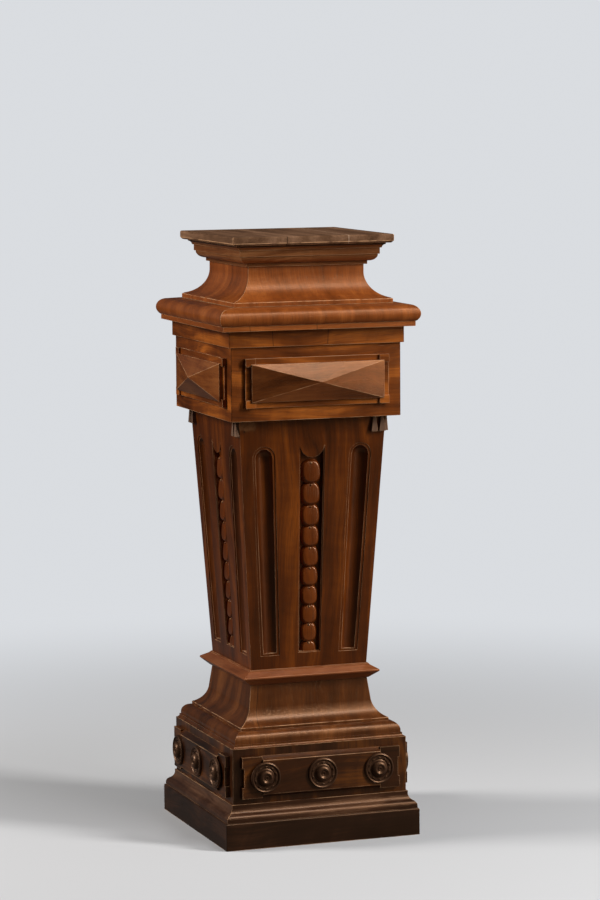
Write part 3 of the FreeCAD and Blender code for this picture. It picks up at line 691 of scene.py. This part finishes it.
# %% Dress the courses
# course: (finish, direction of the grain, width of the softened edges in millimetres)
COURSES = {
    "plinth_board": ("plinth", "along", 1.0),
    "base_moulding": ("base", "along", 0.6),
    "die_board": ("die", "up", 0.8),
    "surbase_moulding": ("lower", "up", 0.5),
    "foot_cove_board": ("lower", "up", 0.6),
    "collar_moulding": ("collar", "along", 0.4),
    "shaft_board": ("shaft", "up", 0.6),
    "frieze_board": ("frieze", "along", 0.8),
    "frieze_rail": ("frieze", "along", 0.6),
    "shoulder_strip": ("upper", "along", 0.6),
    "shoulder_moulding": ("upper", "up", 0.8),
    "neck_cove_board": ("upper", "up", 0.7),
    "cap_moulding": ("cap", "along", 0.5),
    "frieze_plate": ("frieze", "along", 0.5),
    "diamond_block": ("diamond", "along", 0.6),
    "die_panels": ("die", "along", 0.8),
    "die_end_plates": ("die", "along", 0.7),
    "frieze_drops": ("drop", "up", 0.4),
}
OPEN_JOINTS = ("frieze_board", "frieze_rail", "plinth_board")

for course, (finish, direction, arris) in COURSES.items():
    for node in [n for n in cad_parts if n.startswith(course)]:
        # The shaft's upward ledges get a painted highlight.
        dress(node, finish, direction, arris, seams=course in OPEN_JOINTS, painted_ledge_highlight=course == "shaft_board")
dress("top_board", "top", "along", 1.2, whole=True)

# %% [markdown]
# ## Turned forms
#
# A rosette is turned on a lathe, and each coin starts as a round button, so both begin as half a
# section that is spun about its axis. The same shapes could be sculpted, but a section keeps every
# copy equal and its few numbers are easy to compare with the real profile.

# %% Spin a section
def spun(section, steps):
    """A closed form about Z. The section is a list of (radius, height), from the middle and back to it."""
    form = bmesh.new()
    points = [form.verts.new((radius, 0, height)) for radius, height in section]
    edges = [form.edges.new(pair) for pair in zip(points, points[1:])]
    bmesh.ops.spin(form, geom=points + edges, cent=(0, 0, 0), axis=(0, 0, 1), angle=math.tau, steps=steps,
                   use_merge=True, use_duplicate=False)
    bmesh.ops.remove_doubles(form, verts=form.verts, dist=1e-5)
    bmesh.ops.recalc_face_normals(form, faces=form.faces)
    form.faces.layers.float.new("marks_and_painted_light")
    return form


def bead(size, place, painted_highlight=0.0):
    """A small ball, or a longer bead where the three sizes differ."""
    ball = bmesh.new()
    bmesh.ops.create_uvsphere(ball, u_segments=12, v_segments=8, radius=1)
    bmesh.ops.scale(ball, vec=size, verts=ball.verts)
    bmesh.ops.translate(ball, vec=place, verts=ball.verts)
    marks_and_painted_light = ball.faces.layers.float.new("marks_and_painted_light")
    for face in ball.faces:
        face[marks_and_painted_light] = painted_highlight
    return ball


def standing(out, along, up):
    """Carries a form whose axis is Z to the right face of the stand, its axis pointing outwards."""
    turn = Matrix(((0, 0, 1), (1, 0, 0), (0, 1, 0)))
    return Matrix.Translation(Vector((out, along, up))) @ turn.to_4x4()


def facing(face):
    """Carries a form from the right face of the stand to another, from millimetres to metres."""
    return Matrix.Scale(MM, 4) @ Matrix.Rotation(math.radians(FACES[face]), 4, "Z")


trial = bead((1, 1, 1), (0, 0, 0))
print("a bead has", len(trial.faces), "faces")
trial.free()

# %% [markdown]
# ## Rosettes
#
# Each rosette has a round rim, a ring of small dashes, a deep groove, and a swelling boss with a
# pierced nipple in the middle. The dashes aren't round about the axis, so they were probably cut after
# the turning. They could be cut here too, but ten long beads in a ring are simpler and stay closed.

# %% Twelve rosettes
# radius and height in millimetres, from the nipple over the boss, the groove and the rim to the back
ROSETTE_SECTION = [
    (0, 6.4), (1.5, 6.4), (2.1, 8.6), (3.5, 9.0), (4.8, 7.4), (6.4, 8.8), (9.4, 10.3), (12.4, 9.4),
    (14.8, 6.6), (16.0, 2.6), (18.2, 1.4), (19.4, 3.0), (23.8, 3.2), (24.8, 2.4), (25.8, 4.4),
    (27.6, 5.2), (29.4, 4.2), (30, 2.4), (30, 0), (0, 0),
]
ROSETTE_SEAT = 193
ROSETTE_LEVEL = 138
ROSETTE_PLACES = (-117, 0, 117)
DASHES = 10
DASH_SIZE = (3.6, 1.3, 1.4)
DASH_PLACE = (0, 21.6, 3.4)


def rosette():
    """One rosette about Z, its back at zero."""
    parts = [spun(ROSETTE_SECTION, 48)]
    for number in range(DASHES):
        dash = bead(DASH_SIZE, DASH_PLACE)
        turn = Matrix.Rotation(math.tau * number / DASHES, 3, "Z")
        bmesh.ops.rotate(dash, cent=(0, 0, 0), matrix=turn, verts=dash.verts)
        parts.append(dash)
    return join_meshes(parts)


rosettes = []
for face in FACES:
    for place in ROSETTE_PLACES:
        turned = rosette()
        seat = facing(face) @ standing(ROSETTE_SEAT, place, ROSETTE_LEVEL)
        bmesh.ops.transform(turned, matrix=seat, verts=turned.verts)
        lay_grain(turned, face, "along", "rosette %s %d" % (face, place))
        rosettes.append(turned)
show(join_meshes(rosettes), "fine_rosettes", "rosette", ["rosettes"], crease=40)
print("rosettes:", len(rosettes), "with", DASHES, "dashes each")

# %% [markdown]
# ## One coin
#
# The coins lie over each other like scales. Each has a flat face with a rounded, nearly square
# outline, a broad bevel round it, and a notch with a small pearl at its head. A round button is spun
# first and then drawn towards the square by a rule for rounded squares, which a plain circle could
# not give. Each leans forward at the foot.

# %% A coin
# radius as a share of the coin, and height in millimetres, from the middle to the back
COIN_SECTION = [
    (0, 0.3), (0.45, 0.2), (0.72, -0.2), (0.79, -0.6), (0.83, -1.3), (0.94, -4.0), (1, -6.2), (1, -14),
    (0, -14),
]
SQUARENESS = 2.7
NOTCH_DEEP = 1.8
PEARL = (2.2, 2.2, 2.2)
COIN_TILT = math.radians(-7)
COIN_SUNK = 2.5
CHANNEL_DEEP = 12


def coin(half_wide, half_tall, place):
    """One coin in the plane of the shaft: X along it, Y up it, Z out of it."""
    button = spun(COIN_SECTION, 40)
    for vertex in button.verts:
        x, y, z = vertex.co
        reach = math.hypot(x, y)
        if reach > 1e-6:
            square = (abs(x / reach) ** SQUARENESS + abs(y / reach) ** SQUARENESS) ** (-1 / SQUARENESS)
            notch = math.exp(-(x / 0.15) ** 2) * max(0, (y - 0.6) / 0.4)
            vertex.co = (x * square * half_wide, y * square * half_tall, z - NOTCH_DEEP * notch)
    # The pearl is marked 1, which makes it pale as a painted highlight.
    whole = join_meshes([button, bead(PEARL, (0, half_tall * 0.7, -0.4), 1.0)])
    tilt = Matrix.Rotation(COIN_TILT, 3, "X")
    bmesh.ops.rotate(whole, cent=(0, 0, 0), matrix=tilt, verts=whole.verts)
    bmesh.ops.translate(whole, vec=(0, place, -COIN_SUNK), verts=whole.verts)
    for vertex in whole.verts:
        vertex.co.z = max(vertex.co.z, -CHANNEL_DEEP)
    bmesh.ops.remove_doubles(whole, verts=whole.verts, dist=1e-4)
    return whole


trial = coin(20, 24, 0)
print("a coin has", len(trial.faces), "faces")
trial.free()

# %% [markdown]
# ## Strips of coins
#
# A strip fills the channel in the middle of each shaft board. As the shaft tapers, each coin is a
# little smaller than the one above it, and the foot of the channel cuts off the last one. Copies at
# an equal pitch would be simpler, but then the strip would grow too wide for its board.

# %% Strips
SHAFT_FOOT, SHAFT_HEAD = 335, 826.6
FOOT_OUT, HEAD_OUT = 119.8, 150.5
SLOPE = math.atan2(HEAD_OUT - FOOT_OUT, SHAFT_HEAD - SHAFT_FOOT)
CHANNEL_FOOT = 31
COIN_FIRST = 386.8
COIN_PITCH = 43.4
COIN_SHRINK = 0.975
COIN_WIDTH = 0.93
COIN_LAP = 2.2


def coin_column():
    """All the coins of a strip as one mesh, from the head down, and how many there are."""
    pitch, place = COIN_PITCH, COIN_FIRST
    coins = []
    while place + pitch / 2 > CHANNEL_FOOT:
        coins.append(coin(pitch * COIN_WIDTH / 2, pitch / 2 + COIN_LAP, place))
        place -= pitch
        pitch *= COIN_SHRINK
    column = join_meshes(coins)
    everything = column.verts[:] + column.edges[:] + column.faces[:]
    bmesh.ops.bisect_plane(column, geom=everything, dist=1e-4, plane_co=(0, CHANNEL_FOOT, 0),
                           plane_no=(0, 1, 0), clear_inner=True)
    bmesh.ops.holes_fill(column, edges=[e for e in column.edges if e.is_boundary], sides=0)
    return column, len(coins)


lean = Matrix.Translation((FOOT_OUT, 0, SHAFT_FOOT)) @ Matrix.Rotation(SLOPE, 4, "Y")
for face in FACES:
    strip, count = coin_column()
    seat = facing(face) @ lean @ standing(0, 0, 0)
    bmesh.ops.transform(strip, matrix=seat, verts=strip.verts)
    lay_grain(strip, face, "up", "coins " + face)
    show(strip, "fine_coin_strip_" + face, "coin", ["coin_strip_" + face], crease=30)
print("coins in a strip:", count)

# %% [markdown]
# ## The softwood inside
#
# The boards that close the carcase don't show in the photograph. They are taken to be bare pine,
# darkened with age, as is usual. They could be dressed like the walnut, but their edges are hidden, so
# the solids stay as they are and a simple stretched grain is enough.

# %% Softwood
SOFTWOOD = ("sub_top_board", "shoulder_board", "frieze_floor", "waist_board", "die_top_board",
            "bottom_board", "glue_blocks")

pine = Recipe(bpy.data.materials.new("old pine"))
x, y, z = pine.spot()
rings = pine.noise(pine.place(x * 3, y * 60, z * 60), 4, 0.6)
pine_colour = pine.ramp(rings, [(0.3, stain(96, 66, 38)), (0.7, stain(150, 112, 70))])
pine.finish(pine_colour, 0.75, rings, 0.0004)
for node in SOFTWOOD:
    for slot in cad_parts[node].material_slots:
        slot.material = pine.owner
print("softwood boards:", len(SOFTWOOD))
